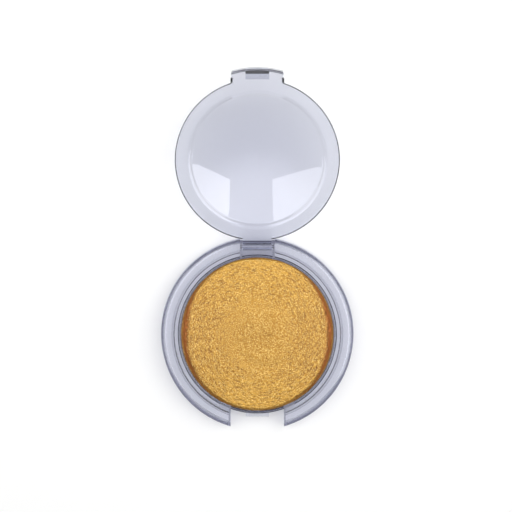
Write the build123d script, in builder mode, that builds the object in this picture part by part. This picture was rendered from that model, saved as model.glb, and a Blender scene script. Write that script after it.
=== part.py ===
"""Round flip-lid compact in clear plastic around a disc of metallic gold pigment.

Millimetres, +Z up. The origin is the middle of the face the base stands on, and +Y points
at the hinge. The base is one moulding: a round cup for the pan inside a hollow ring, with a
thumb notch at the front and a hinge notch at the rear. The lid is drawn lying open at its
stop, which is the rest pose.
"""

import os
from math import cos, radians, sin, sqrt

from build123d import *

# Base: cup, groove and ring
cup_radius = 24.5  # outside of the cup wall
wall = 0.9  # every moulded wall of the base but the notch's ends
floor_lift = 0.4  # the cup floor stands this far above the table
foot_width = 1.4  # foot ring under the cup wall
groove_width = 1.0  # gap between the cup wall and the ring
groove_depth = 2.1  # below the cup rim
ring_width = 4.5
ring_height = 8.5
ring_edge_round = 0.3  # inner top edge of the ring
shoulder_round = 2.2  # curve that falls from the ring's top to its outside
shoulder_reach = 1.55  # width of that curve, which ends at an edge
shoulder_edge_round = 0.3
flange_width = 0.45  # bead around the bottom of the ring
flange_height = 0.9

# Thumb notch and catch at the front
notch_width = 16.5
notch_end_wall = 0.5  # closes the ring's hollow on both sides of the thumb notch
groove_end_width = 3.3  # the groove is filled this far beside the thumb notch
nub_width = 7.1
nub_reach = 0.95
nub_height = 0.8
nub_drop = 0.8  # top of the nub below the cup rim

# Lid
lid_clearance = 0.4  # between the lid's edge and the ring
lid_wall = 1.15
lid_edge_round = 0.7  # soft edge outside
lid_inner_edge_round = 0.1
seat_gap = 0.05  # under the lid plate when it is closed
plate_width = 3.5  # flat border around the dome
riser_foot_round = 1.2  # hollow round at the foot of the short slope around the dome
riser_slope = 42.0
riser_top_round = 1.9
dome_edge_slope = 16.5
strap_lift = 0.4  # the tab and the tongue are this much thicker than the lid plate
tab_side_gap = 0.4
tab_setback = 1.35  # the tab ends this far inside the ring's outside
tab_corner_round = 0.8
tab_edge_round = 1.6  # from the top of the tab to the outside of its lip
lip_wall = 0.7
lip_end_round = 0.2
catch_bite = 0.15  # the hook passes the nub by this much and springs over it
catch_gap = 0.1  # between the hook and the nub when closed
hook_thickness = 0.9
hook_lead = 0.5  # sloped edge that lets the hook ride over the nub
gusset_reach = 1.0  # slope that stiffens the hook where it meets the lip
gusset_height = 1.3
rib_length = 1.5  # ribs that centre the tab in the notch
rib_reach = 0.2
rib_depth = 2.2
rib_corner = 0.6  # cut off the ribs' outside corners

# Hinge
lid_opening = 165.0  # from closed to the stop
hinge_inset = 1.45  # hinge axis outwards from the ring's inner wall
hinge_drop = 1.2  # hinge axis below the top of the ring
knuckle_radius = 1.15
tongue_width = 8.8
tongue_side_gap = 0.35
hinge_side_wall = 0.6  # closes the ring's hollow on both sides of the hinge notch
pip_radius = 0.5
pip_reach = 0.3  # into the dimple
pip_clearance = 0.06
pip_end_gap = 0.1
rear_flat_outset = 1.95  # wall that closes the hinge notch, outwards from the hinge axis
stop_gap = 0.05

# Pan and what it holds
glue_height = 0.2
glue_radius = 3.0
glue_circle_radius = 14.0
glue_count = 4
pan_wall = 0.3
pan_clearance = 0.15
pan_rim_drop = 1.8  # below the cup rim
pigment_lap = 0.4  # the pigment's edge stands this far above the pan rim
pigment_shoulder_width = 2.2
pigment_shoulder_height = 1.1
pigment_crown = 0.7

# Underside label
label_margin = 4.1  # inwards from the foot ring
label_thickness = 0.12

# Sizes that follow
ring_inner_radius = cup_radius + groove_width
ring_radius = ring_inner_radius + ring_width
skirt_radius = ring_radius - flange_width
plate_bottom = ring_height - lid_wall
cup_rim_height = plate_bottom - seat_gap
groove_floor_height = cup_rim_height - groove_depth
cup_inner_radius = cup_radius - wall
cup_middle_radius = cup_radius - wall / 2
cup_floor_height = floor_lift + wall
shoulder_start = skirt_radius - shoulder_reach
shoulder_middle = ring_height - shoulder_round
shoulder_edge_height = shoulder_middle + sqrt(shoulder_round**2 - shoulder_reach**2)
hollow_round = shoulder_round - wall
hollow_reach = shoulder_reach - wall
hollow_edge_height = shoulder_middle + sqrt(hollow_round**2 - hollow_reach**2)
hinge_y = ring_inner_radius + hinge_inset
hinge_height = ring_height - hinge_drop
rear_flat_y = hinge_y + rear_flat_outset
hinge_notch_width = tongue_width + 2 * tongue_side_gap
lid_radius = ring_inner_radius - lid_clearance
dome_radius = lid_radius - plate_width
tab_reach = ring_radius - tab_setback
tab_width = notch_width - 2 * tab_side_gap
strap_top = ring_height + strap_lift
nub_top_height = cup_rim_height - nub_drop
nub_front = cup_radius + nub_reach
hook_front = nub_front - catch_bite
hook_top = nub_top_height - nub_height - catch_gap
lip_bottom = hook_top - hook_thickness
lip_inside = tab_reach - lip_wall
well_bottom = cup_floor_height + glue_height
pan_radius = cup_inner_radius - pan_clearance
pan_floor_height = well_bottom + pan_wall
pan_rim_height = cup_rim_height - pan_rim_drop
pigment_edge_height = pan_rim_height + pigment_lap

# The lid is drawn in these two planes. Closed, they would be the base's own XY and YZ.
opening = radians(lid_opening)
hinge_point = Vector(0, hinge_y, hinge_height)
lid_up = Vector(0, sin(opening), cos(opening))
lid_back = Vector(0, cos(opening), -sin(opening))
lid_origin = hinge_point - lid_back * hinge_y - lid_up * hinge_height
lid_plan = Plane(origin=lid_origin, x_dir=(1, 0, 0), z_dir=lid_up)
lid_section = Plane(origin=lid_origin, x_dir=lid_back, z_dir=(1, 0, 0))

os.makedirs("parts", exist_ok=True)


def slope_point(centre, radius, slope):
    """Point on a round around centre, where the surface slopes by this many degrees."""
    turn = radians(slope)
    return (centre[0] + radius * sin(turn), centre[1] + radius * cos(turn))


def cap_middle(half_width, edge_height, rise):
    """Point halfway along a shallow round cap's profile, between its edge and its crown."""
    radius = (half_width**2 + rise**2) / (2 * rise)
    reach = half_width / 2
    return (reach, edge_height + rise - radius + sqrt(radius**2 - reach**2))


# Ring without its hollow, from which its end walls are cut
with BuildPart() as ring_walls:
    with BuildSketch(Plane.YZ):
        with BuildLine():
            Polyline(
                (cup_middle_radius, cup_rim_height),
                (cup_middle_radius, 0),
                (skirt_radius, 0),
                (skirt_radius, shoulder_edge_height),
            )
            RadiusArc(
                (skirt_radius, shoulder_edge_height),
                (shoulder_start, ring_height),
                -shoulder_round,
            )
            Polyline(
                (shoulder_start, ring_height),
                (ring_inner_radius, ring_height),
                (ring_inner_radius, cup_rim_height),
                (cup_middle_radius, cup_rim_height),
            )
        make_face()
        shoulder_edge = vertices().sort_by_distance((skirt_radius, shoulder_edge_height))[0]
        fillet(shoulder_edge, radius=shoulder_edge_round)
    revolve(axis=Axis.Z)
    with BuildSketch():
        for side in (-1, 1):
            with Locations((side * (notch_width + notch_end_wall) / 2, -ring_radius / 2)):
                Rectangle(notch_end_wall, ring_radius)
            with Locations((side * (hinge_notch_width + hinge_side_wall) / 2, ring_radius / 2)):
                Rectangle(hinge_side_wall, ring_radius)
        with Locations((0, rear_flat_y - wall / 2)):
            Rectangle(hinge_notch_width + 2 * hinge_side_wall, wall)
    extrude(amount=ring_height, mode=Mode.INTERSECT)

# Clear base: ring, cup, catch nub and hinge notch in one moulding
stop_distance = strap_top - hinge_height + stop_gap


def sill_height(y):
    """Height of the sloped hinge sill, which lies along the open tongue and stops the lid."""
    return hinge_height + (lid_up.Y * (y - hinge_y) - stop_distance) / -lid_up.Z


with BuildPart() as base_shell:
    with BuildSketch(Plane.YZ):
        with BuildLine():
            Polyline(
                (ring_inner_radius, ring_height - ring_edge_round),
                (ring_inner_radius, groove_floor_height),
                (cup_middle_radius, groove_floor_height),
                (cup_middle_radius, groove_floor_height - wall),
                (ring_inner_radius + wall, groove_floor_height - wall),
                (ring_inner_radius + wall, ring_height - wall),
                (shoulder_start, ring_height - wall),
            )
            RadiusArc(
                (shoulder_start, ring_height - wall),
                (skirt_radius - wall, hollow_edge_height),
                hollow_round,
            )
            Polyline(
                (skirt_radius - wall, hollow_edge_height),
                (skirt_radius - wall, 0),
                (ring_radius, 0),
                (ring_radius, flange_height),
                (skirt_radius, flange_height + flange_width),
                (skirt_radius, shoulder_edge_height),
            )
            RadiusArc(
                (skirt_radius, shoulder_edge_height),
                (shoulder_start, ring_height),
                -shoulder_round,
            )
            inner_edge = ring_inner_radius + ring_edge_round
            Line((shoulder_start, ring_height), (inner_edge, ring_height))
            RadiusArc(
                (inner_edge, ring_height),
                (ring_inner_radius, ring_height - ring_edge_round),
                -ring_edge_round,
            )
        make_face()
        shoulder_edge = vertices().sort_by_distance((skirt_radius, shoulder_edge_height))[0]
        fillet(shoulder_edge, radius=shoulder_edge_round)
    revolve(axis=Axis.Z)
    # the groove is closed level with the cup rim beside the thumb notch
    with BuildSketch(Plane.XY.offset(groove_floor_height - wall)):
        Circle(ring_inner_radius + wall / 2)
        Circle(cup_middle_radius, mode=Mode.SUBTRACT)
        with Locations((0, -ring_radius / 2)):
            Rectangle(notch_width + 2 * groove_end_width, ring_radius, mode=Mode.INTERSECT)
    extrude(amount=cup_rim_height - groove_floor_height + wall)
    add(ring_walls.part)
    # sloped sill across the hinge notch
    with BuildSketch(Plane.YZ):
        with BuildLine():
            Polyline(
                (cup_radius - wall, sill_height(cup_radius - wall)),
                (rear_flat_y, sill_height(rear_flat_y)),
                (rear_flat_y, sill_height(rear_flat_y) - wall),
                (cup_radius - wall, sill_height(cup_radius - wall) - wall),
                close=True,
            )
        make_face()
    extrude(amount=(hinge_notch_width + hinge_side_wall) / 2, both=True)
    # hinge notch above the sill
    with BuildSketch(Plane.YZ):
        with BuildLine():
            Polyline(
                (cup_radius - 2 * wall, sill_height(cup_radius - 2 * wall)),
                (ring_radius + wall, sill_height(ring_radius + wall)),
                (ring_radius + wall, ring_height + wall),
                (cup_radius - 2 * wall, ring_height + wall),
                close=True,
            )
        make_face()
    extrude(amount=hinge_notch_width / 2, both=True, mode=Mode.SUBTRACT)
    # flat behind the hinge, which the open lid's edge clears
    with BuildSketch():
        with Locations((0, rear_flat_y + ring_width / 2)):
            Rectangle(hinge_notch_width + 2 * hinge_side_wall, ring_width)
    extrude(amount=ring_height, mode=Mode.SUBTRACT)
    # thumb notch, right through the ring
    with BuildSketch():
        with Locations((0, -ring_radius / 2)):
            Rectangle(notch_width, ring_radius)
    extrude(amount=ring_height, mode=Mode.SUBTRACT)
    # cup, with a foot ring under its wall
    with BuildSketch(Plane.YZ):
        with BuildLine():
            rim_round_start = cup_rim_height - wall / 2
            Polyline(
                (cup_inner_radius, rim_round_start),
                (cup_inner_radius, cup_floor_height),
                (0, cup_floor_height),
                (0, floor_lift),
                (cup_radius - foot_width, floor_lift),
                (cup_radius - foot_width, 0),
                (cup_radius, 0),
                (cup_radius, rim_round_start),
            )
            ThreePointArc(
                (cup_radius, rim_round_start),
                (cup_middle_radius, cup_rim_height),
                (cup_inner_radius, rim_round_start),
            )
        make_face()
    revolve(axis=Axis.Z)
    # catch nub on the front of the cup
    with BuildSketch(Plane.XY.offset(nub_top_height - nub_height)):
        with Locations((0, -(nub_front + cup_middle_radius) / 2)):
            Rectangle(nub_width, nub_front - cup_middle_radius)
        Circle(cup_middle_radius, mode=Mode.SUBTRACT)
    extrude(amount=nub_height)
    # dimples for the lid's pips
    with BuildSketch(Plane.YZ):
        with Locations((hinge_y, hinge_height)):
            Circle(pip_radius + pip_clearance)
    dimple_reach = hinge_notch_width / 2 + pip_reach + pip_end_gap
    extrude(amount=dimple_reach, both=True, mode=Mode.SUBTRACT)
base_shell.part.label = "base_shell"
export_step(base_shell.part, "parts/base_shell.step")

# Clear lid: domed plate, front tab with its lip and hook, rear tongue with its knuckle. The
# plate and the dome are one wall thick, so both their faces turn around the same centres.
foot_centre = (dome_radius, ring_height + riser_foot_round)
riser_foot = slope_point(foot_centre, -riser_foot_round, riser_slope)
top_centre = slope_point(riser_foot, -riser_top_round, riser_slope)
dome_edge = slope_point(top_centre, riser_top_round, dome_edge_slope)
dome_sphere_radius = dome_edge[0] / sin(radians(dome_edge_slope))
dome_centre = slope_point(dome_edge, -dome_sphere_radius, dome_edge_slope)


def dome_line(inset):
    """Half profile of the dome, from the border in to the middle, inset from its outside."""
    foot = riser_foot_round + inset
    top = riser_top_round - inset
    sphere = dome_sphere_radius - inset
    ThreePointArc(
        slope_point(foot_centre, -foot, 0),
        slope_point(foot_centre, -foot, riser_slope / 2),
        slope_point(foot_centre, -foot, riser_slope),
    )
    ThreePointArc(
        slope_point(top_centre, top, riser_slope),
        slope_point(top_centre, top, (riser_slope + dome_edge_slope) / 2),
        slope_point(top_centre, top, dome_edge_slope),
    )
    ThreePointArc(
        slope_point(dome_centre, sphere, dome_edge_slope),
        slope_point(dome_centre, sphere, dome_edge_slope / 2),
        slope_point(dome_centre, sphere, 0),
    )


# The tab and its lip are turned around the lid's middle, then cut to the tab's outline
with BuildPart() as tab:
    with BuildSketch(lid_section):
        with BuildLine():
            Polyline(
                (tab_reach - tab_edge_round, strap_top),
                (dome_edge[0], strap_top),
                (dome_radius, plate_bottom),
                (lip_inside, plate_bottom),
                (lip_inside, lip_bottom),
                (tab_reach - lip_end_round, lip_bottom),
            )
            RadiusArc(
                (tab_reach - lip_end_round, lip_bottom),
                (tab_reach, lip_bottom + lip_end_round),
                -lip_end_round,
            )
            Line((tab_reach, lip_bottom + lip_end_round), (tab_reach, strap_top - tab_edge_round))
            RadiusArc(
                (tab_reach, strap_top - tab_edge_round),
                (tab_reach - tab_edge_round, strap_top),
                -tab_edge_round,
            )
        make_face()
    revolve(axis=Axis(lid_origin, lid_up))
    with BuildSketch(lid_plan.offset(lip_bottom - wall)):
        with Locations((0, -tab_reach / 2)):
            Rectangle(tab_width, tab_reach)
        Circle(tab_reach, mode=Mode.INTERSECT)
        fillet(vertices().group_by(Axis.Y)[0], radius=tab_corner_round)
    extrude(amount=strap_top - lip_bottom + 2 * wall, mode=Mode.INTERSECT)

with BuildPart() as lid:
    with BuildSketch(lid_section):
        with BuildLine():
            dome_line(0)
            dome_line(lid_wall)
            Line(
                slope_point(dome_centre, dome_sphere_radius, 0),
                slope_point(dome_centre, dome_sphere_radius - lid_wall, 0),
            )
            edge_start = lid_radius - lid_edge_round
            inner_edge_start = lid_radius - lid_inner_edge_round
            Line((dome_radius, ring_height), (edge_start, ring_height))
            RadiusArc(
                (edge_start, ring_height),
                (lid_radius, ring_height - lid_edge_round),
                lid_edge_round,
            )
            Line(
                (lid_radius, ring_height - lid_edge_round),
                (lid_radius, plate_bottom + lid_inner_edge_round),
            )
            RadiusArc(
                (lid_radius, plate_bottom + lid_inner_edge_round),
                (inner_edge_start, plate_bottom),
                lid_inner_edge_round,
            )
            Line((inner_edge_start, plate_bottom), (dome_radius, plate_bottom))
        make_face()
    revolve(axis=Axis(lid_origin, lid_up))
    add(tab.part)
    # hook along the end of the lip, with a sloped lead
    with BuildSketch(lid_section):
        with BuildLine():
            lip_middle = tab_reach - lip_wall / 2
            Polyline(
                (-lip_middle, hook_top + gusset_height),
                (-lip_inside, hook_top + gusset_height),
                (-lip_inside + gusset_reach, hook_top),
                (-hook_front, hook_top),
                (-hook_front, lip_bottom + hook_lead),
                (-hook_front - hook_lead, lip_bottom),
                (-lip_middle, lip_bottom),
                close=True,
            )
        make_face()
    extrude(amount=nub_width / 2, both=True)
    # ribs that centre the tab in the thumb notch
    tab_root = sqrt(lid_radius**2 - (tab_width / 2) ** 2)
    with BuildSketch(lid_plan.offset(strap_top)):
        with Locations((0, -tab_root - rib_length / 2)):
            Rectangle(tab_width + 2 * rib_reach, rib_length)
            Rectangle(tab_width - 2 * lip_wall, rib_length, mode=Mode.SUBTRACT)
    extrude(amount=-rib_depth)
    with BuildSketch(Plane(lid_origin - lid_back * tab_root, (1, 0, 0), -lid_back)):
        rib_outside = tab_width / 2 + rib_reach
        with Locations((-rib_outside, strap_top), (rib_outside, strap_top)):
            Rectangle(rib_corner * sqrt(2), rib_corner * sqrt(2), rotation=45)
    extrude(amount=rib_length, mode=Mode.SUBTRACT)
    # tongue from the dome to the knuckle
    with BuildSketch(lid_section):
        with BuildLine():
            Polyline(
                (dome_radius, plate_bottom),
                (lid_radius, plate_bottom),
                (hinge_y, hinge_height - knuckle_radius),
                (hinge_y, hinge_height + knuckle_radius),
                (hinge_y - knuckle_radius / 2, strap_top),
                (dome_edge[0], strap_top),
                close=True,
            )
        make_face()
        with Locations((hinge_y, hinge_height)):
            Circle(knuckle_radius)
    extrude(amount=tongue_width / 2, both=True)
    # pips that turn in the dimples of the base
    with BuildSketch(lid_section):
        with Locations((hinge_y, hinge_height)):
            Circle(pip_radius)
    extrude(amount=hinge_notch_width / 2 + pip_reach, both=True)
lid.part.label = "lid"
export_step(lid.part, "parts/lid.step")

# Aluminium pan, open at the top
with BuildPart() as pan:
    with BuildSketch(Plane.XY.offset(well_bottom)):
        Circle(pan_radius)
    extrude(amount=pan_rim_height - well_bottom)
    with BuildSketch(Plane.XY.offset(pan_floor_height)):
        Circle(pan_radius - pan_wall)
    extrude(amount=pan_rim_height, mode=Mode.SUBTRACT)
pan.part.label = "pan"
export_step(pan.part, "parts/pan.step")

# Gold pigment: fills the pan, covers its rim and rises to a low crown
crown_edge_radius = pan_radius - pigment_shoulder_width
crown_edge_height = pigment_edge_height + pigment_shoulder_height
with BuildPart() as pigment:
    with BuildSketch(Plane.YZ):
        with BuildLine():
            Polyline(
                (0, crown_edge_height + pigment_crown),
                (0, pan_floor_height),
                (pan_radius - pan_wall, pan_floor_height),
                (pan_radius - pan_wall, pan_rim_height),
                (pan_radius, pan_rim_height),
                (pan_radius, pigment_edge_height),
            )
            ThreePointArc(
                (0, crown_edge_height + pigment_crown),
                cap_middle(crown_edge_radius, crown_edge_height, pigment_crown),
                (crown_edge_radius, crown_edge_height),
            )
            TangentArc(
                (crown_edge_radius, crown_edge_height),
                (pan_radius, pigment_edge_height),
                tangent=(1, 0),
            )
        make_face()
    revolve(axis=Axis.Z)
pigment.part.label = "pigment"
export_step(pigment.part, "parts/pigment.step")

# Dots of glue that hold the pan to the cup floor
with BuildPart() as glue_dots:
    with BuildSketch(Plane.XY.offset(cup_floor_height)):
        with PolarLocations(glue_circle_radius, glue_count):
            Circle(glue_radius)
    extrude(amount=glue_height)
glue_dots.part.label = "glue_dots"
export_step(glue_dots.part, "parts/glue_dots.step")

# Plain label in the recess under the cup
with BuildPart() as base_label:
    with BuildSketch(Plane.XY.offset(floor_lift)):
        Circle(cup_radius - foot_width - label_margin)
    extrude(amount=-label_thickness)
base_label.part.label = "base_label"
export_step(base_label.part, "parts/base_label.step")
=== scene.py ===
"""Round flip-lid compact of clear polystyrene around a pan of crinkled gold pigment.

Run as a script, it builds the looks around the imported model: materials for the two clear
mouldings, a finely crinkled pigment cake, the pan, glue and label seen through the base, and
a small studio.
"""

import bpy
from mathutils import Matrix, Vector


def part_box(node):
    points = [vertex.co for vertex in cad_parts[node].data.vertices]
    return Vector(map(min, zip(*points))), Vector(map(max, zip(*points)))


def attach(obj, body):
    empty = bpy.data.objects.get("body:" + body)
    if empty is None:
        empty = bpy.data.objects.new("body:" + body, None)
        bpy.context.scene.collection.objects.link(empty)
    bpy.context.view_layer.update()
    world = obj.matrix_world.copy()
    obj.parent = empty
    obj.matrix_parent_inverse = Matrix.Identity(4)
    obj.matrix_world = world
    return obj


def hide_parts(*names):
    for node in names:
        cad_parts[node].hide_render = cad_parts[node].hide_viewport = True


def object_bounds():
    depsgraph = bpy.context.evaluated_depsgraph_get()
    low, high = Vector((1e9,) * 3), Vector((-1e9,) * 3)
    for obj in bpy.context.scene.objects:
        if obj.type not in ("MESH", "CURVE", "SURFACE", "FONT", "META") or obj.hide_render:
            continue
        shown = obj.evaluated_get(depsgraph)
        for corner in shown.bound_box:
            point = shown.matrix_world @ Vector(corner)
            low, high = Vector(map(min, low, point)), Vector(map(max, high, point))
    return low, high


bl_info = {
    "name": "Clear Pigment Compact",
    "version": (1, 0, 0),
    "blender": (4, 5, 0),
    "location": "View3D > Sidebar > Compact",
    "description": "Builds the looks of a clear flip-lid pigment compact around its packed model",
    "category": "Object",
}

from math import atan2, cos, exp, hypot, pi, sin

import bmesh
import bpy
from bpy.props import FloatProperty, FloatVectorProperty, IntProperty, PointerProperty
from mathutils import Matrix, Vector, noise

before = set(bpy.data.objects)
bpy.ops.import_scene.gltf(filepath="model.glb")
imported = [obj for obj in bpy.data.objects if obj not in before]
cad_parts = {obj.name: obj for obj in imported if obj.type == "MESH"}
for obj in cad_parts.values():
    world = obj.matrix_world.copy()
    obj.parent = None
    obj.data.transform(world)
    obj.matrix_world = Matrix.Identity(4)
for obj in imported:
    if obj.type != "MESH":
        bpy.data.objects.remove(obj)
cad_low, cad_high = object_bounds()

MM = 0.001


def srgb(code):
    """Linear colour of an sRGB hex code such as "d9a04a"."""
    channels = [int(code[i : i + 2], 16) / 255 for i in (0, 2, 4)]
    return tuple(c / 12.92 if c <= 0.04045 else ((c + 0.055) / 1.055) ** 2.4 for c in channels)


def rgba(colour):
    """A linear colour with full alpha, as node sockets take it."""
    return (*colour[:3], 1.0)


# ---------------------------------------------------------------- sizes and colours


class CompactSizes(bpy.types.PropertyGroup):
    """Sizes of the looks, in metres unless they say otherwise."""

    crinkle_height: FloatProperty(
        name="Crinkle height",
        description="How far the crinkles of the pigment rise and fall",
        default=0.08 * MM,
        subtype="DISTANCE",
        unit="LENGTH",
        precision=6,
    )
    crinkle_width: FloatProperty(
        name="Crinkle width",
        description="Distance across one crinkle, from the middle of the pan outwards",
        default=0.42 * MM,
        subtype="DISTANCE",
        unit="LENGTH",
        precision=6,
    )
    ring_spacing: FloatProperty(
        name="Pigment ring spacing",
        description="Distance between the rings of vertices on the pigment",
        default=0.19 * MM,
        subtype="DISTANCE",
        unit="LENGTH",
        precision=6,
    )
    pigment_steps: IntProperty(
        name="Pigment steps",
        description="Vertices around each ring of the pigment",
        default=640,
        min=24,
    )
    camera_height: FloatProperty(
        name="Camera height",
        description="Height of the camera over the table",
        default=0.55,
        subtype="DISTANCE",
        unit="LENGTH",
    )
    view_width: FloatProperty(
        name="View width",
        description="Width of the square view at the height of the ring's top",
        default=0.1573,
        subtype="DISTANCE",
        unit="LENGTH",
    )


class CompactColours(bpy.types.PropertyGroup):
    """Colours of the looks."""

    plastic: FloatVectorProperty(
        name="Clear plastic",
        description="Faint tint of the clear mouldings",
        default=srgb("e5e7ee"),
        subtype="COLOR",
        size=3,
        min=0,
        max=1,
    )
    # the pigment's gold, lightened on the crests as painted light
    gold_and_crest_light: FloatVectorProperty(
        name="Gold, light",
        description="Colour of the crests of the pigment",
        default=srgb("b98a34"),
        subtype="COLOR",
        size=3,
        min=0,
        max=1,
    )
    # painted glints: pale gold painted on single flakes of mica
    gold_painted_glint: FloatVectorProperty(
        name="Gold, glints",
        description="Colour of single flakes of mica that catch the light",
        default=srgb("eacb78"),
        subtype="COLOR",
        size=3,
        min=0,
        max=1,
    )
    # painted shade of the sloping shoulder, over the binder's orange brown
    gold_shoulder_shade: FloatVectorProperty(
        name="Gold, shoulder",
        description="Colour of the smooth shoulder of the pigment",
        default=srgb("a4612c"),
        subtype="COLOR",
        size=3,
        min=0,
        max=1,
    )
    # painted shade in the hollows of the crinkles
    gold_and_hollow_shade: FloatVectorProperty(
        name="Gold, dark",
        description="Colour of the hollows of the pigment",
        default=srgb("6b3c14"),
        subtype="COLOR",
        size=3,
        min=0,
        max=1,
    )


# ---------------------------------------------------------------- helpers


def add_node(tree, kind, settings=None, links=None):
    """Adds one shader node. settings sets its properties and its sockets, and links joins
    its sockets to those of other nodes."""
    new = tree.nodes.new(kind)
    for name, value in (settings or {}).items():
        if isinstance(name, str) and hasattr(new, name):
            setattr(new, name, value)
        else:
            new.inputs[name].default_value = value
    for name, source in (links or {}).items():
        tree.links.new(source, new.inputs[name])
    return new


def new_material(name):
    """An empty node material and its output node."""
    material = bpy.data.materials.new(name)
    material.use_nodes = True
    material.node_tree.nodes.clear()
    output = add_node(material.node_tree, "ShaderNodeOutputMaterial")
    return material, material.node_tree, output


def dress(piece, material):
    """Gives a piece one material in all its slots."""
    if not piece.data.materials:
        piece.data.materials.append(material)
    for slot in piece.material_slots:
        slot.material = material


def new_piece(name, mesh_builder, body):
    """Makes an object from a bmesh and lets it ride on a body."""
    mesh = bpy.data.meshes.new(name)
    mesh_builder.to_mesh(mesh)
    mesh_builder.free()
    piece = bpy.data.objects.new(name, mesh)
    bpy.context.scene.collection.objects.link(piece)
    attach(piece, body)
    return piece


# ---------------------------------------------------------------- materials


def clear_polystyrene(name):
    """Injection-moulded clear polystyrene: hard, bright edges and a faint violet cast.

    Lamps shine through it with the loss of its two faces, as they do through thin walls.
    """
    colours = bpy.context.scene.compact_colours
    material, tree, output = new_material(name)
    coordinates = add_node(tree, "ShaderNodeTexCoord")
    # slow ripple left by the mould's polish, about 6 mm from crest to crest
    ripple = add_node(
        tree,
        "ShaderNodeTexNoise",
        {"Scale": 1 / (6 * MM), "Detail": 1.0},
        {"Vector": coordinates.outputs["Object"]},
    )
    bump = add_node(
        tree,
        "ShaderNodeBump",
        {"Strength": 0.03, "Distance": 0.1 * MM},
        {"Height": ripple.outputs["Fac"]},
    )
    plastic = add_node(
        tree,
        "ShaderNodeBsdfPrincipled",
        {
            "Base Color": rgba(colours.plastic),
            "Roughness": 0.03,
            "IOR": 1.59,
            "Transmission Weight": 1.0,
        },
        {"Normal": bump.outputs["Normal"]},
    )
    path = add_node(tree, "ShaderNodeLightPath")
    through = add_node(tree, "ShaderNodeBsdfTransparent", {"Color": rgba(srgb("e8e8eb"))})
    mixed = add_node(
        tree,
        "ShaderNodeMixShader",
        links={0: path.outputs["Is Shadow Ray"], 1: plastic.outputs[0], 2: through.outputs[0]},
    )
    tree.links.new(mixed.outputs[0], output.inputs["Surface"])
    # along a wall the light travels far inside the plastic, which turns it navy
    depth = add_node(
        tree,
        "ShaderNodeVolumeAbsorption",
        {"Color": rgba(srgb("565684")), "Density": 0.11 / MM},
    )
    tree.links.new(depth.outputs[0], output.inputs["Volume"])
    return material


def crinkled_gold():
    """Pressed metallic pigment: fine mica in a binder that dried into crinkles.

    Crests are a satin gold as painted light, and hollows a deeper brown as painted shade. On the
    smooth shoulder an orange brown is painted: painted shade of the slope over the binder's
    brown.
    Two attributes of the mesh say where: one is how far up a crinkle a place is, painted as light
    on crests and shade in hollows, and shoulder how much of the shoulder's painted shade shows.
    """
    colours = bpy.context.scene.compact_colours
    material, tree, output = new_material("pressed_gold_pigment")
    relief_light_and_shade = add_node(tree, "ShaderNodeAttribute", {"attribute_name": "relief_light_and_shade"})
    shoulder = add_node(tree, "ShaderNodeAttribute", {"attribute_name": "shoulder"})
    coordinates = add_node(tree, "ShaderNodeTexCoord")
    # mica flakes, drawn 0.3 mm wide so that they show
    grain = add_node(
        tree,
        "ShaderNodeTexNoise",
        {"Scale": 1 / (0.3 * MM), "Detail": 3.0, "Roughness": 0.7},
        {"Vector": coordinates.outputs["Object"]},
    )
    # painted light and shade: the crinkles' attribute lightens the crests and darkens the
    # hollows, with the grain's random tone on top
    grain_and_painted_shade = add_node(
        tree,
        "ShaderNodeMath",
        {"operation": "MULTIPLY_ADD", 1: 0.6},
        {0: grain.outputs["Fac"], 2: relief_light_and_shade.outputs["Fac"]},
    )
    lightness = add_node(
        tree,
        "ShaderNodeMapRange",
        {"From Min": 0.4, "From Max": 1.15},
        {"Value": grain_and_painted_shade.outputs[0]},
    )
    crinkle_light_and_shade = add_node(
        tree,
        "ShaderNodeMix",
        {"data_type": "RGBA", 6: rgba(colours.gold_and_hollow_shade), 7: rgba(colours.gold_and_crest_light)},
        {0: lightness.outputs[0]},
    )
    # painted glints: single flakes painted pale gold where they would catch the light, drawn 0.22
    # mm wide so that they show
    flakes = add_node(
        tree,
        "ShaderNodeTexNoise",
        {"Scale": 1 / (0.22 * MM), "Detail": 1.0},
        {"Vector": coordinates.outputs["Object"]},
    )
    painted_glint = add_node(
        tree,
        "ShaderNodeMapRange",
        {"From Min": 0.53, "From Max": 0.66, "To Max": 0.85},
        {"Value": flakes.outputs["Fac"]},
    )
    with_painted_glints = add_node(
        tree,
        "ShaderNodeMix",
        {"data_type": "RGBA", 7: rgba(colours.gold_painted_glint)},
        {0: painted_glint.outputs[0], 6: crinkle_light_and_shade.outputs[2]},
    )
    # painted shade on the sloping shoulder, over the binder's brown
    colour = add_node(
        tree,
        "ShaderNodeMix",
        {"data_type": "RGBA", 7: rgba(colours.gold_shoulder_shade)},
        {0: shoulder.outputs["Fac"], 6: with_painted_glints.outputs[2]},
    )
    rough = add_node(
        tree,
        "ShaderNodeMapRange",
        {"From Min": 0.3, "From Max": 0.7, "To Min": 0.5, "To Max": 0.34},
        {"Value": grain.outputs["Fac"]},
    )
    bump = add_node(
        tree,
        "ShaderNodeBump",
        {"Strength": 0.8, "Distance": 0.05 * MM},
        {"Height": grain.outputs["Fac"]},
    )
    gold = add_node(
        tree,
        "ShaderNodeBsdfPrincipled",
        {"Metallic": 0.6},
        {
            "Base Color": colour.outputs[2],
            "Roughness": rough.outputs[0],
            "Normal": bump.outputs["Normal"],
        },
    )
    tree.links.new(gold.outputs[0], output.inputs["Surface"])
    return material


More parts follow.
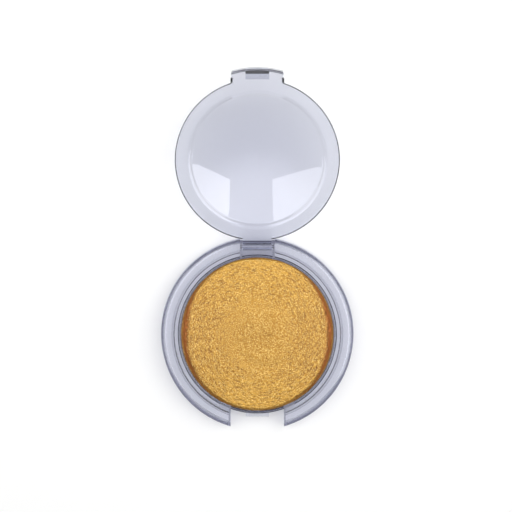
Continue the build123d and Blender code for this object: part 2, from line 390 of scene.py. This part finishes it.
def rolled_aluminium():
    """Bright rolled aluminium sheet with fine lines from the rolls, drawn into a pan."""
    material, tree, output = new_material("rolled_aluminium")
    coordinates = add_node(tree, "ShaderNodeTexCoord")
    stretch = add_node(
        tree,
        "ShaderNodeMapping",
        {"Scale": (1 / (0.2 * MM), 1 / (6 * MM), 1 / (0.2 * MM))},
        {"Vector": coordinates.outputs["Object"]},
    )
    lines = add_node(
        tree, "ShaderNodeTexNoise", {"Scale": 1.0, "Detail": 2.0}, {"Vector": stretch.outputs[0]}
    )
    rough = add_node(
        tree,
        "ShaderNodeMapRange",
        {"To Min": 0.22, "To Max": 0.4},
        {"Value": lines.outputs["Fac"]},
    )
    metal = add_node(
        tree,
        "ShaderNodeBsdfPrincipled",
        {"Base Color": rgba(srgb("d6d7d9")), "Metallic": 1.0},
        {"Roughness": rough.outputs[0]},
    )
    tree.links.new(metal.outputs[0], output.inputs["Surface"])
    return material


def cured_glue():
    """Hot-melt adhesive: milky, waxy dots."""
    material, tree, output = new_material("hot_melt_glue")
    coordinates = add_node(tree, "ShaderNodeTexCoord")
    cloud = add_node(
        tree,
        "ShaderNodeTexNoise",
        {"Scale": 1 / (1.5 * MM), "Detail": 2.0},
        {"Vector": coordinates.outputs["Object"]},
    )
    colour = add_node(
        tree,
        "ShaderNodeMix",
        {"data_type": "RGBA", 6: rgba(srgb("d9d5c4")), 7: rgba(srgb("efecdf"))},
        {0: cloud.outputs["Fac"]},
    )
    wax = add_node(
        tree,
        "ShaderNodeBsdfPrincipled",
        {"Roughness": 0.45, "IOR": 1.48},
        {"Base Color": colour.outputs[2]},
    )
    tree.links.new(wax.outputs[0], output.inputs["Surface"])
    return material


def label_film():
    """Satin polypropylene label film, blank, with the faint mottle of its adhesive."""
    material, tree, output = new_material("label_film")
    coordinates = add_node(tree, "ShaderNodeTexCoord")
    mottle = add_node(
        tree,
        "ShaderNodeTexNoise",
        {"Scale": 1 / (0.9 * MM), "Detail": 4.0},
        {"Vector": coordinates.outputs["Object"]},
    )
    colour = add_node(
        tree,
        "ShaderNodeMix",
        {"data_type": "RGBA", 6: rgba(srgb("e2e2e4")), 7: rgba(srgb("efeff0"))},
        {0: mottle.outputs["Fac"]},
    )
    film = add_node(
        tree,
        "ShaderNodeBsdfPrincipled",
        {"Roughness": 0.38, "IOR": 1.49},
        {"Base Color": colour.outputs[2]},
    )
    tree.links.new(film.outputs[0], output.inputs["Surface"])
    return material


# ---------------------------------------------------------------- pieces


def crinkle(x, y, width):
    """Height of the crinkles at a place on the pigment, from about -1 in a hollow to 1.

    They have no direction in the middle and lie around the pan further out, where the cake
    shrank away from the pan as it dried.
    """
    free_radius = 4 * MM  # without a direction inside this
    turning_width = 8 * MM  # they turn to lie around the pan over this
    length = 3.4 * width  # of one crinkle, at this distance from the middle
    length_radius = 16 * MM
    r = hypot(x, y)
    angle = atan2(y, x)
    place = Vector((x, y, 0))
    # both patterns are bent a little, so that no crinkle runs straight
    warp = 0.35 * width * noise.noise_vector(place / (2.4 * width))
    flat = (place + warp) / width
    around = length_radius / length
    ring = Vector((around * cos(angle), around * sin(angle), (r + warp.x) / (0.85 * width)))
    lie = min(1.0, max(0.0, (r - free_radius) / turning_width))
    coarse = (1 - lie) * noise.noise(flat) + lie * noise.noise(ring)
    fine = (1 - lie) * noise.noise(flat * 2.3) + lie * noise.noise(ring * 2.1)
    # the coarse pattern makes narrow crests where it changes sign
    ridge = 0.55 - 2.4 * abs(coarse)
    return 0.75 * ridge + 0.9 * fine


def shoulder_width(angle):
    """Width of the smooth shoulder where the pigment falls to the pan's rim.

    The cake slumped towards both sides and a little to the front corners. Elsewhere it stands
    almost up to the rim.
    """
    sides = abs(cos(angle)) ** 4
    corners = max(0.0, -sin(angle)) ** 2 * abs(cos(angle)) * 2
    wander = noise.noise(Vector((2.5 * cos(angle), 2.5 * sin(angle), 0.7)))
    return (0.5 + 2.1 * sides + 0.3 * corners + 0.4 * wander) * MM


def turned_blank(profile, steps):
    """Turns a profile of (radius, height) places round into a smooth blank.

    One slice is spun and copied round, which is quicker than a whole turn.
    """
    slices = 16
    shape = bmesh.new()
    line = [shape.verts.new((r, 0, z)) for r, z in profile]
    for first, second in zip(line, line[1:]):
        shape.edges.new((first, second))
    bmesh.ops.spin(
        shape,
        geom=shape.verts[:] + shape.edges[:],
        cent=(0, 0, 0),
        axis=(0, 0, 1),
        angle=2 * pi / slices,
        steps=steps // slices,
    )
    first_slice = shape.verts[:] + shape.edges[:] + shape.faces[:]
    for i in range(1, slices):
        copy = bmesh.ops.duplicate(shape, geom=first_slice)["geom"]
        bmesh.ops.rotate(
            shape,
            verts=[item for item in copy if isinstance(item, bmesh.types.BMVert)],
            cent=(0, 0, 0),
            matrix=Matrix.Rotation(2 * pi * i / slices, 3, "Z"),
        )
    bmesh.ops.remove_doubles(shape, verts=shape.verts, dist=0.001 * MM)
    bmesh.ops.recalc_face_normals(shape, faces=shape.faces)
    for face in shape.faces:
        face.smooth = True
    return shape


def press_top(shape, edge, edge_height, top, sizes):
    """Gives the blank's flat top its crown, shoulder, shallow ring and crinkles.

    It also writes the two attributes that the gold's colour follows: the painted light and shade
    of the crinkles, and the painted shade of the shoulder.
    """
    crown = 0.7 * MM  # from the middle down to the shoulder
    crest_room = 0.06 * MM  # between the crown and the top of the crests
    shoulder_drop = top - crown - edge_height
    wide_shoulder = 2.5 * MM  # from this width on it falls all the way
    deepening_radius = 18 * MM  # the crinkles reach their full depth here
    # a shallow ring, pressed a little to the right of the middle
    ring_middle, ring_radius = 3 * MM, 10.5 * MM
    ring_width, ring_depth = 1.8 * MM, 0.12 * MM
    darkest = 0.3  # below this the painted shade of the hollows fades slowly
    seed = 1  # noise_vector's offsets follow the clock until they are seeded

    noise.seed_set(seed)
    relief_light_and_shade = shape.verts.layers.float.new("relief_light_and_shade")
    smooth = shape.verts.layers.float.new("shoulder")
    for vert in shape.verts:
        if vert.co.z < edge_height - 0.01 * MM:
            continue
        x, y = vert.co.x, vert.co.y
        r = hypot(x, y)
        height = crinkle(x, y, sizes.crinkle_width)
        width = shoulder_width(atan2(y, x))
        fall = 1 - min(1.0, (edge - r) / (width * (1 + 0.3 * height)))
        fall = fall * fall * (3 - 2 * fall)
        # where the shoulder is narrow the cake stands almost as high as its crown
        drop = shoulder_drop * min(1.0, width / wide_shoulder) * fall
        # gentler in the middle, deepest towards the rim, smooth on the shoulder
        depth = 0.6 + 0.5 * min(1.0, r / deepening_radius) ** 2
        depth *= 1 - 0.55 * min(1.0, 2 * fall)
        pressed = (hypot(x - ring_middle, y) - ring_radius) / ring_width
        z = top - crest_room - crown * (r / edge) ** 2 - drop
        z += sizes.crinkle_height * depth * height - ring_depth * exp(-(pressed**2))
        vert.co.z = min(z, top)
        # painted light: the crinkles' sides face the front and the rear, so there they are
        # painted lighter, and darker towards the sides
        painted_front_rear_light = 0.2 * (r / edge) ** 2 * (y * y - x * x) / max(r * r, MM * MM)
        # painted light on the crests and painted shade in the hollows
        painted_tone = 0.5 + 0.55 * depth * height + painted_front_rear_light
        # the painted shade in the hollows is kept faint: they are shallow and stay gold
        vert[relief_light_and_shade] = painted_tone if painted_tone > darkest else darkest + 0.35 * (painted_tone - darkest)
        # painted shade on the slope, over the binder's brown; the very edge goes back to gold
        vert[smooth] = min(1.0, 2.2 * drop / shoulder_drop) * min(1.0, (1 - fall) * 6)


class COMPACT_OT_pigment(bpy.types.Operator):
    """Turns the pigment cake and presses its top: crown, shoulder, shallow ring and crinkles"""

    bl_idname = "compact.pigment"
    bl_label = "Pigment"

    def execute(self, context):
        sizes = context.scene.compact_sizes
        low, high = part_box("pigment")
        pan_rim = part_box("pan")[1].z
        # the cake laps over the pan's rim, and below that it fits inside the pan
        edge = high.x + 0.1 * MM
        inside = high.x - 0.3 * MM
        edge_height = pan_rim + 0.4 * MM
        count = round(edge / sizes.ring_spacing)
        profile = [(edge * i / count, edge_height) for i in range(count + 1)]
        profile += [(edge, pan_rim), (inside, pan_rim), (inside, low.z), (0, low.z)]
        shape = turned_blank(profile, sizes.pigment_steps)
        press_top(shape, edge, edge_height, high.z, sizes)
        piece = new_piece("gold_pigment", shape, "base")
        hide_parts("pigment")
        dress(piece, crinkled_gold())
        return {"FINISHED"}


class COMPACT_OT_clear_shells(bpy.types.Operator):
    """Gives the base and the lid their clear polystyrene"""

    bl_idname = "compact.clear_shells"
    bl_label = "Base and lid"

    def execute(self, context):
        plastic = clear_polystyrene("clear_polystyrene")
        for node in ("base_shell", "lid"):
            dress(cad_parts[node], plastic)
        return {"FINISHED"}


class COMPACT_OT_hidden_pieces(bpy.types.Operator):
    """Finishes the pan, the glue and the label, which show through the base"""

    bl_idname = "compact.hidden_pieces"
    bl_label = "Pan, glue and label"

    def execute(self, context):
        dress(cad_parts["pan"], rolled_aluminium())
        dress(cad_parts["glue_dots"], cured_glue())
        dress(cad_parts["base_label"], label_film())
        return {"FINISHED"}


# ---------------------------------------------------------------- studio


def matt_white_paper():
    """Uncoated white paper: next to no gloss, and a faint slow mottle."""
    material, tree, output = new_material("matt_white_paper")
    coordinates = add_node(tree, "ShaderNodeTexCoord")
    mottle = add_node(
        tree,
        "ShaderNodeTexNoise",
        {"Scale": 1 / (40 * MM), "Detail": 2.0},
        {"Vector": coordinates.outputs["Object"]},
    )
    colour = add_node(
        tree,
        "ShaderNodeMix",
        {"data_type": "RGBA", 6: rgba(srgb("f3f3f2")), 7: rgba(srgb("f6f6f5"))},
        {0: mottle.outputs["Fac"]},
    )
    paper = add_node(
        tree,
        "ShaderNodeBsdfPrincipled",
        {"Roughness": 0.8, "Specular IOR Level": 0.2},
        {"Base Color": colour.outputs[2]},
    )
    tree.links.new(paper.outputs[0], output.inputs["Surface"])
    return material


def lay_table():
    """A square table, a hair below the compact's foot so that their faces don't coincide."""
    half_width = 0.6
    shape = bmesh.new()
    bmesh.ops.create_grid(shape, x_segments=1, y_segments=1, size=half_width)
    mesh = bpy.data.meshes.new("table")
    shape.to_mesh(mesh)
    shape.free()
    mesh.transform(Matrix.Translation((0, 0, -0.02 * MM)))
    table = bpy.data.objects.new("table", mesh)
    bpy.context.scene.collection.objects.link(table)
    dress(table, matt_white_paper())


def hang_softbox(name, top_x, bottom_x, bottom, radiance):
    """A rectangular lamp that leans over the object, with its lower edge further out."""
    front, back, top = -0.16, 0.32, 0.70
    top_front = Vector((top_x, front, top))
    across = Vector((top_x, back, top)) - top_front
    down = Vector((bottom_x, front, bottom)) - top_front
    light = bpy.data.lights.new(name, "AREA")
    light.shape = "RECTANGLE"
    light.size = across.length
    light.size_y = down.length
    # the power that gives this radiance from one face of the lamp
    light.energy = radiance * pi * across.length * down.length
    lamp = bpy.data.objects.new(name, light)
    middle = top_front + across / 2 + down / 2
    # a lamp shines along its own -Z, which has to point at the object
    target = Vector((0, 0.03, 0))
    x_axis = across.normalized()
    z_axis = x_axis.cross(-down).normalized()
    if z_axis.dot(middle - target) < 0:
        z_axis = -z_axis
    y_axis = z_axis.cross(x_axis)
    turn = Matrix((x_axis, y_axis, z_axis)).transposed().to_4x4()
    lamp.matrix_world = Matrix.Translation(middle) @ turn
    lamp.visible_camera = False
    bpy.context.scene.collection.objects.link(lamp)


def light_room():
    """A dim room under a white ceiling, which is brightest right overhead."""
    world = bpy.data.worlds.new("room")
    world.use_nodes = True
    room = world.node_tree
    background = room.nodes["Background"]
    background.inputs["Color"].default_value = rgba(srgb("fdfdff"))
    direction = add_node(room, "ShaderNodeTexCoord")
    split = add_node(
        room, "ShaderNodeSeparateXYZ", links={"Vector": direction.outputs["Generated"]}
    )
    ceiling = add_node(
        room,
        "ShaderNodeMapRange",
        {
            "interpolation_type": "SMOOTHSTEP",
            "From Min": 0.82,
            "From Max": 1.0,
            "To Min": 0.08,
            "To Max": 1.7,
        },
        {"Value": split.outputs["Z"]},
    )
    room.links.new(ceiling.outputs[0], background.inputs["Strength"])
    bpy.context.scene.world = world
    bpy.context.scene.view_settings.view_transform = "Standard"


def set_camera(height, view_width):
    """A camera that looks straight down, from a little left and in front of the middle."""
    left, forward = 0.4 * MM, 1.9 * MM
    data = bpy.data.cameras.new("camera")
    camera = bpy.data.objects.new("camera", data)
    middle = (cad_low + cad_high) / 2
    camera.location = (middle.x - left, middle.y - forward, height)
    ring_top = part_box("base_shell")[1].z
    data.sensor_width = 36.0
    data.lens = data.sensor_width * (height - ring_top) / view_width
    data.clip_start = 0.01
    bpy.context.scene.collection.objects.link(camera)
    bpy.context.scene.camera = camera


class COMPACT_OT_stage(bpy.types.Operator):
    """Makes the white table, two softboxes, the dim room and the camera"""

    bl_idname = "compact.stage"
    bl_label = "Stage"

    def execute(self, context):
        sizes = context.scene.compact_sizes
        lay_table()
        hang_softbox("right_softbox", top_x=0.154, bottom_x=0.317, bottom=0.20, radiance=2.7)
        hang_softbox("left_softbox", top_x=-0.084, bottom_x=-0.41, bottom=0.25, radiance=2.0)
        light_room()
        set_camera(sizes.camera_height, sizes.view_width)
        return {"FINISHED"}


class COMPACT_PT_panel(bpy.types.Panel):
    """Lists the compact's operators"""

    bl_idname = "COMPACT_PT_panel"
    bl_label = "Clear Pigment Compact"
    bl_space_type = "VIEW_3D"
    bl_region_type = "UI"
    bl_category = "Compact"

    def draw(self, context):
        for operator in OPERATORS:
            self.layout.operator(operator.bl_idname)
        for group in (context.scene.compact_sizes, context.scene.compact_colours):
            for name in group.bl_rna.properties.keys():
                if name not in ("name", "rna_type"):
                    self.layout.prop(group, name)


OPERATORS = (
    COMPACT_OT_stage,
    COMPACT_OT_clear_shells,
    COMPACT_OT_pigment,
    COMPACT_OT_hidden_pieces,
)
CLASSES = (CompactSizes, CompactColours, *OPERATORS, COMPACT_PT_panel)


def register():
    """Registers the classes and hangs their settings on the scene."""
    for cls in CLASSES:
        bpy.utils.register_class(cls)
    bpy.types.Scene.compact_sizes = PointerProperty(type=CompactSizes)
    bpy.types.Scene.compact_colours = PointerProperty(type=CompactColours)


def unregister():
    """Takes the settings and the classes away again."""
    del bpy.types.Scene.compact_colours
    del bpy.types.Scene.compact_sizes
    for cls in reversed(CLASSES):
        bpy.utils.unregister_class(cls)


def main():
    register()
    bpy.ops.compact.stage()
    bpy.ops.compact.clear_shells()
    bpy.ops.compact.pigment()
    bpy.ops.compact.hidden_pieces()


if __name__ == "__main__":
    main()
